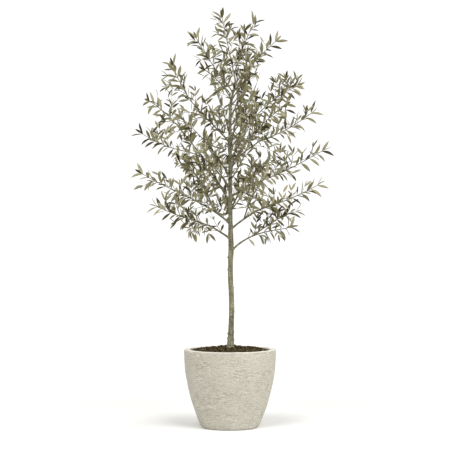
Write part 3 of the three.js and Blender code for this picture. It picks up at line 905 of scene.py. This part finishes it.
def set_leaf(layer, spray, base, along, outward, angle, length, outermost=False,
             filling=False):
    """One leaf at a base point, leaning from the shoot's direction towards outward.

    It is left out where it would hide the sky or the stem. A filling leaf is also left out
    where it would show between the others, or stand in a crowd.
    """
    angle = math.radians(angle + dice.gauss(0, 6))
    heading = (along * math.cos(angle) + outward * math.sin(angle)).normalized()
    lowness = 1 - max(0.0, heading.z)
    back = across(-along + any_way() * 0.2, heading)
    down = across(-UP + any_way() * 0.05, heading)
    bend_to = across(back * 0.6 + down * lowness * 1.3 + any_way() * 0.15, heading)
    bend = math.radians((BEND + DROOP * lowness) * dice.uniform(0.4, 1.3))
    spots = [base + (heading * share + bend_to * bend * share ** 2 / 2) * length
             for share in SPOTS]
    hides_sky = not outermost and any(shows_sky(spot) for spot in spots[1:])
    if hides_sky and dice.random() > LEFT_IN_OPENING:
        return
    cells = [cell(spot) for spot in spots]
    between = filling and sum(place in covered for place in cells) < COVERED_SPOTS
    if between and dice.random() > LEFT_BETWEEN:
        return
    if filling and max(crowd[place] for place in cells) >= CROWDED:
        return
    if any(hides_stem(spot) for spot in spots) and dice.random() > LEFT_ON_STEM:
        return
    if filling:
        crowd.update(cells)
        roll = dice.choice(FILLING_ROLLS) + dice.gauss(0, 12)
    else:
        covered.update(cells)
        roll = dice.choice((1, -1)) * (ROLL - ROLL_LOST * abs(outward.y)) + dice.gauss(0, 9)
    leaves[layer].append({
        "base": base, "heading": heading, "bend_to": bend_to, "bend": bend,
        "roll": math.radians(roll),
        "twist": math.radians(dice.gauss(0, 11)),
        "length": length * dice.uniform(*LENGTHS),
        "slimness": dice.uniform(*SLIMNESS),
        "spray": spray if dice.random() < LIKE_ITS_SPRAY else dice.randrange(LEAF_TINTS),
    })


def clothe(layer, line, step, start, sizes, radius_at, bare=0.0, flank=None,
           filling=False):
    """Pairs of leaves along a shoot from a start, and the leaves at its end.

    sizes are the lengths of the first and of the last leaves. Few leaves are left on the
    bare part. Every other pair stands square to the flank.
    """
    spray = dice.randrange(LEAF_TINTS)
    total = step * (len(line) - 1)
    along_line = start
    pair = dice.randrange(4)
    while along_line < total - NODE_GAP * 0.5:
        place = along_line / step
        low = min(int(place), len(line) - 2)
        base = line[low].lerp(line[low + 1], place - low)
        along = (line[low + 1] - line[low]).normalized()
        share = along_line / total
        length = sizes[0] + (sizes[1] - sizes[0]) * share
        turn = math.radians(PAIR_TURNS[pair % 4])
        for opposite in (0, math.pi):
            if dice.random() < (MISSING_ON_BARE if along_line < bare else MISSING):
                continue
            outward = around(along, turn + opposite + dice.gauss(0, TURN_SPREAD), flank)
            angle = LEAN - LEAN_LOST * share + LEAN_GAINED * max(0.0, -outward.z)
            skin = base + outward * radius_at(along_line) * ON_SKIN
            set_leaf(layer, spray, skin, along, outward, angle, length,
                     bare > 0 and total - along_line < OUTERMOST, filling)
        pair += 1
        sparser = 1 + 0.15 * abs(along.y)  # towards the front and the back
        along_line += NODE_GAP * sparser * (1.12 - 0.4 * share) * dice.uniform(0.85, 1.15)
    end = line[-1]
    along = (line[-1] - line[-2]).normalized()
    for turn, angle, size in END_LEAVES:
        outward = around(along, math.radians(turn) + dice.gauss(0, TURN_SPREAD), flank)
        set_leaf(layer, spray, end, along, outward, angle, sizes[1] * size, bare > 0,
                 filling)


def add_shoot(layer, line, size, flank=None, filling=False, root=SHOOT_ROOT,
              start=FIRST_PAIR):
    """A thin shoot on a line, with its leaves."""
    count = len(line)
    taper = [root + (SHOOT_END - root) * i / (count - 1) for i in range(count)]
    twig_runs.append(list(zip(line, taper)))
    clothe(layer, line, SHOOT_STEP, start, (size * 0.85, size), lambda along: SHOOT_END,
           flank=flank, filling=filling)


def shoot_between(layer, carrier, place, size):
    """A seen shoot, from the nearest point of what carries it."""
    x, z, rightwards, upwards = place
    low = min(range(len(carrier) - 1), key=lambda i: math.hypot(
        carrier[i].x - x / 1000, carrier[i].z - z / 1000))
    base = carrier[low]
    along = (carrier[low + 1] - base).normalized()
    tip_x, tip_z = (x + rightwards) / 1000, (z + upwards) / 1000
    length = math.hypot(tip_x - base.x, tip_z - base.z)
    end = Vector((tip_x, base.y + length * dice.uniform(-0.4, 0.4), tip_z))
    knee = base.lerp(end, 0.4) + along * length * 0.10
    add_shoot(layer, smooth_line([base, knee, end], SHOOT_STEP), size,
              Vector((dice.gauss(0, 0.3), 1, 0)))


def grown_line(base, heading, length, lift_to, lift=0.05):
    """A line that sets out on a heading and curves as it grows."""
    line = [base]
    for _ in range(max(2, round(length / SHOOT_STEP))):
        heading = (heading + lift_to * lift + any_way() * 0.012).normalized()
        line.append(line[-1] + heading * SHOOT_STEP)
    return line


def shoot_towards(layer, base, heading, length, lift_to, size):
    """A filling shoot, left out where too much of it would show between the others."""
    line = grown_line(base, heading, length, lift_to)
    places = [line[round((len(line) - 1) * share)] for share in (0.5, 0.75, 1.0)]
    if sum(cell(place) in covered for place in places) >= 2:
        add_shoot(layer, line, size, filling=True)


def inner_bough(layer, height, quarter):
    """A thin bough from the stem into the depth of the crown, with its shoots."""
    tries = []
    for _ in range(INNER_TRIES):
        azimuth = math.radians(quarter + dice.choice((-1, 1)) * dice.uniform(*INNER_AZIMUTHS))
        heading = Vector((math.cos(azimuth), math.sin(azimuth), dice.uniform(*INNER_CLIMB)))
        reach = np.interp(height + 0.15, CROWN_HEIGHTS, CROWN_HALF_DEPTHS)
        length = reach * dice.uniform(0.85, 1.05) / abs(math.sin(azimuth)) * 1.15 - 0.03
        line = grown_line(stem_point(height), heading.normalized(), length, UP, 0.012)
        tries.append((sum(cell(point) not in covered for point in line), len(tries), line))
    line = min(tries)[2]
    add_shoot(layer, line, ON_INNER_BOUGHS, filling=True, root=INNER_ROOT,
              start=INNER_BARE * SHOOT_STEP * len(line))
    places = range(round(INNER_BARE * len(line)), len(line) - 3, INNER_STEPS)
    for number, place in enumerate(places):
        along = (line[place + 1] - line[place]).normalized()
        outward = around(along, math.radians(INNER_TURNS[number % 6] + dice.gauss(0, 12)))
        heading = (along + outward * dice.uniform(0.8, 1.2)).normalized()
        length = (0.105 - 0.06 * place / len(line)) * dice.uniform(0.75, 1.0)
        shoot_towards(layer, line[place], heading, length, UP, ON_FILLING_SHOOTS)


def dress(limb, layer):
    """The leaves and the seen side shoots of one limb."""
    first_size = FIRST_LEAVES[layer] * LEAF_LENGTH
    clothe(layer, limb.line, LIMB_STEP, limb.bare * 0.65, (first_size, LEAF_LENGTH),
           limb.radius_at, limb.bare)
    for place in SEEN_SHOOTS.get(limb.name, []):
        shoot_between(layer, limb.line, place, ON_SEEN_SHOOTS)


def fill_out(limb, layer):
    """Side shoots all round a limb, as far as its mass reaches."""
    seen = limb.name in SEEN_SHOOTS
    turns = SIDE_TURNS if seen else ROUND_TURNS
    gap, proud = SHOOT_GAP_BETWEEN_SEEN if seen else SHOOT_GAP, STANDS_PROUD
    if abs((limb.line[-1] - limb.line[0]).normalized().y) > IN_DEPTH:
        gap, proud = SHOOT_GAP_IN_DEPTH, STANDS_PROUD_IN_DEPTH
    turn = dice.randrange(2)
    along_line = limb.bare * 0.8
    while along_line < limb.length - 0.03:
        low = min(int(along_line / LIMB_STEP), len(limb.line) - 2)
        base = limb.line[low]
        along = (limb.line[low + 1] - base).normalized()
        outward = around(along, math.radians(turns[turn % 6] + dice.gauss(0, 12)))
        lean = math.radians(dice.uniform(*SHOOT_LEANS))
        heading = along * math.cos(lean) + outward * math.sin(lean)
        hit = limb.room.ray_cast(base + heading * 0.006, heading)
        room = hit[3] if hit[0] else SHOOT_ROOM
        length = min(LONGEST_SHOOT, room + proud - 0.5 * LEAF_LENGTH)
        length *= dice.uniform(0.8, 1.0)
        if length > SHORTEST_SHOOT:
            shoot_towards(layer, base, heading, length, along * 0.4 + UP * 0.6,
                          ON_FILLING_SHOOTS)
        turn += 1
        along_line += gap * dice.uniform(0.8, 1.2)


by_height = sorted(limbs, key=lambda limb: limb.line[0].z)
layer_of = {}
for rank, limb in enumerate(by_height):
    layer = ("lower", "middle", "upper")[rank * 3 // len(by_height)]
    layer_of[limb.name] = layer
    dress(limb, layer)

for place in SEEN_SHOOTS["stem"]:
    shoot_between("middle", stem_line, place, ON_THE_STEM)
for limb in by_height:
    fill_out(limb, layer_of[limb.name])
height = SPUR_HEIGHTS[0]
spur_turn = 0
while height < SPUR_HEIGHTS[1]:
    spur_turn += SPUR_TURN
    azimuth = math.radians(spur_turn % SPUR_ARC - 10)
    outward = Vector((math.cos(azimuth), math.sin(azimuth), 0))
    shoot_towards("middle", stem_point(height), (outward + UP * 0.8).normalized(),
                  dice.uniform(*SPUR_LENGTHS), UP, ON_THE_STEM)
    height += SPUR_GAP * dice.uniform(0.8, 1.2)
height = INNER_HEIGHTS[0]
quarter = -90
while height < INNER_HEIGHTS[1]:
    inner_bough("upper" if height > 1.4 else "lower", height, quarter)
    quarter = -quarter
    height += INNER_GAP * dice.uniform(0.85, 1.15)

twigs = tubes("twigs", twig_runs, 1)
twig_material = new_material("young_bark", paint(112, 106, 82), 0.75)[0]
finish_faces(twigs, twig_material, 60)


def leaf_form():
    """One leaf, a unit long and a unit wide: corners, faces, and 1 for each lower face."""
    bpy.ops.object.select_all(action="DESELECT")
    bpy.ops.mesh.primitive_grid_add(x_subdivisions=2, y_subdivisions=LEAF_ROWS, size=1,
                                    location=(0, 0.5, 0))
    leaf = bpy.context.object
    bpy.ops.object.transform_apply()
    shape = bmesh.new()
    shape.from_mesh(leaf.data)
    for vertex in shape.verts:
        share = vertex.co.y
        outline = math.sin(math.pi * share) ** 0.92 if 0 < share < 1 else 0
        vertex.co.z = LEAF_FOLD * abs(vertex.co.x) * 2 * outline
        vertex.co.x *= outline
    under = bmesh.ops.duplicate(shape, geom=shape.verts[:] + shape.edges[:] + shape.faces[:])
    under_faces = [part for part in under["geom"] if isinstance(part, bmesh.types.BMFace)]
    for part in under["geom"]:
        if isinstance(part, bmesh.types.BMVert) and abs(part.co.x) < 1e-6:
            if 0.01 < part.co.y < 0.99:
                part.co.z -= LEAF_THICK
    bmesh.ops.reverse_faces(shape, faces=under_faces)
    for face in under_faces:
        face.material_index = 1
    bmesh.ops.remove_doubles(shape, verts=shape.verts[:], dist=1e-5)
    shape.verts.index_update()
    corners = np.array([vertex.co for vertex in shape.verts])
    faces = [[vertex.index for vertex in face.verts] for face in shape.faces]
    underside = np.array([face.material_index for face in shape.faces])
    shape.free()
    bpy.data.objects.remove(leaf)
    return corners, faces, underside


leaf_corners, leaf_faces, leaf_underside = leaf_form()

UPPER_TINTS = {
    "deep_olive": paint(54, 49, 24),
    "grey_olive": paint(74, 69, 40),
    "sage": paint(100, 96, 65),
    "young_sage": paint(122, 118, 87),
}
UNDER_TINTS = {"grey_felt": paint(134, 130, 101), "pale_felt": paint(159, 155, 126)}


def leaf_mesh(name, dealt):
    """All leaves of a layer as one mesh, each bent along an arc from its base."""
    def column(key):
        return np.array([leaf[key] for leaf in dealt])

    heading, bend_to, base = column("heading"), column("bend_to"), column("base")
    hinge = np.cross(heading, bend_to)
    length, slimness = column("length")[:, None], column("slimness")[:, None]
    bend = column("bend")[:, None]
    x, y, z = leaf_corners.T
    turned_by = bend * y
    along = length * np.sin(turned_by) / bend
    dropped = length * (1 - np.cos(turned_by)) / bend
    roll = column("roll")[:, None] + column("twist")[:, None] * y
    width = length * slimness

    def spread_over(vectors, amounts):
        return vectors[:, None, :] * amounts[:, :, None]

    line = base[:, None, :] + spread_over(heading, along) + spread_over(bend_to, dropped)
    back = spread_over(heading, np.sin(turned_by)) - spread_over(bend_to, np.cos(turned_by))
    hinge_wide = np.repeat(hinge[:, None, :], len(x), axis=1)
    normal = back * np.cos(roll)[:, :, None] + hinge_wide * np.sin(roll)[:, :, None]
    sideways = hinge_wide * np.cos(roll)[:, :, None] - back * np.sin(roll)[:, :, None]
    corners = line + sideways * (width * x)[:, :, None] + normal * (width * z)[:, :, None]
    faces = [
        [index + number * len(leaf_corners) for index in face]
        for number in range(len(dealt)) for face in leaf_faces
    ]
    mesh = bpy.data.meshes.new(name)
    mesh.from_pydata(corners.reshape(-1, 3).tolist(), [], faces)
    tops = column("spray")[:, None]
    unders = LEAF_TINTS + column("spray")[:, None] % len(UNDER_TINTS)
    slots = np.where(leaf_underside[None, :] == 1, unders, tops)
    mesh.polygons.foreach_set("material_index", slots.reshape(-1).astype(np.int32))
    return mesh


leaf_materials = [
    new_material(name, colour, 0.6, Specular_IOR_Level=0.2)[0]
    for name, colour in UPPER_TINTS.items()
]
leaf_materials += [
    new_material(name, colour, 0.85, Specular_IOR_Level=0.15)[0]
    for name, colour in UNDER_TINTS.items()
]
for layer, dealt in leaves.items():
    mesh = leaf_mesh("leaves_" + layer, dealt)
    for material in leaf_materials:
        mesh.materials.append(material)
    foliage = set_up("leaves_" + layer, mesh)
    finish_faces(foliage, None, 22)
    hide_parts(*["foliage_" + n for n, where in layer_of.items() if where == layer])

# ---- Floor, light and camera -------------------------------------------------------------
# A white floor under soft light from all round, with two large soft lamps high in front and
# a broad light from either side, the right one the stronger.

FLOOR_SIZE = 120
FRAME_WIDTH = 2.3  # what the frame takes in at the stem
SENSOR = 36
LAMPS = [  # direction, width in degrees, strength
    ("right_softbox", (0.30, -0.56, 0.68), 30, 1.45),
    ("left_softbox", (-0.30, -0.56, 0.68), 30, 1.45),
    ("right_wall", (1.0, -0.25, 0.3), 70, 2.00),
    ("left_wall", (-1.0, -0.35, 0.3), 70, 0.75),
]

bpy.ops.object.select_all(action="DESELECT")
bpy.ops.mesh.primitive_plane_add(size=FLOOR_SIZE)
floor = bpy.context.object
floor.name = "studio_floor"
floor.data.materials.append(new_material("white_floor", (0.92, 0.92, 0.91, 1), 0.9)[0])

world = bpy.data.worlds.new("studio")
world.use_nodes = True
air = world.node_tree
white_walls = put(air, "ShaderNodeBackground", {"Color": (1, 1, 1, 1), "Strength": 1.1})
soft_light = put(air, "ShaderNodeBackground", {"Color": (1, 0.98, 0.93, 1), "Strength": 0.33})
straight = put(air, "ShaderNodeLightPath").outputs["Is Camera Ray"]
both = put(air, "ShaderNodeMixShader", {0: straight, 1: soft_light.outputs[0],
                                        2: white_walls.outputs[0]})
air.links.new(both.outputs[0], air.nodes["World Output"].inputs["Surface"])
bpy.context.scene.world = world
bpy.context.scene.view_settings.view_transform = "Standard"

for name, direction, width, strength in LAMPS:
    light = bpy.data.lights.new(name, "SUN")
    light.angle = math.radians(width)
    light.energy = strength
    stand = set_up(name, light)
    stand.location = direction
    stand.rotation_euler = Vector(direction).to_track_quat("Z", "Y").to_euler()

camera = bpy.data.cameras.new("camera")
camera.sensor_width = SENSOR
camera.lens = SENSOR * -EYE.y / FRAME_WIDTH
view = set_up("camera", camera)
view.location = EYE
view.rotation_euler = (math.pi / 2, 0, 0)
bpy.context.scene.camera = view
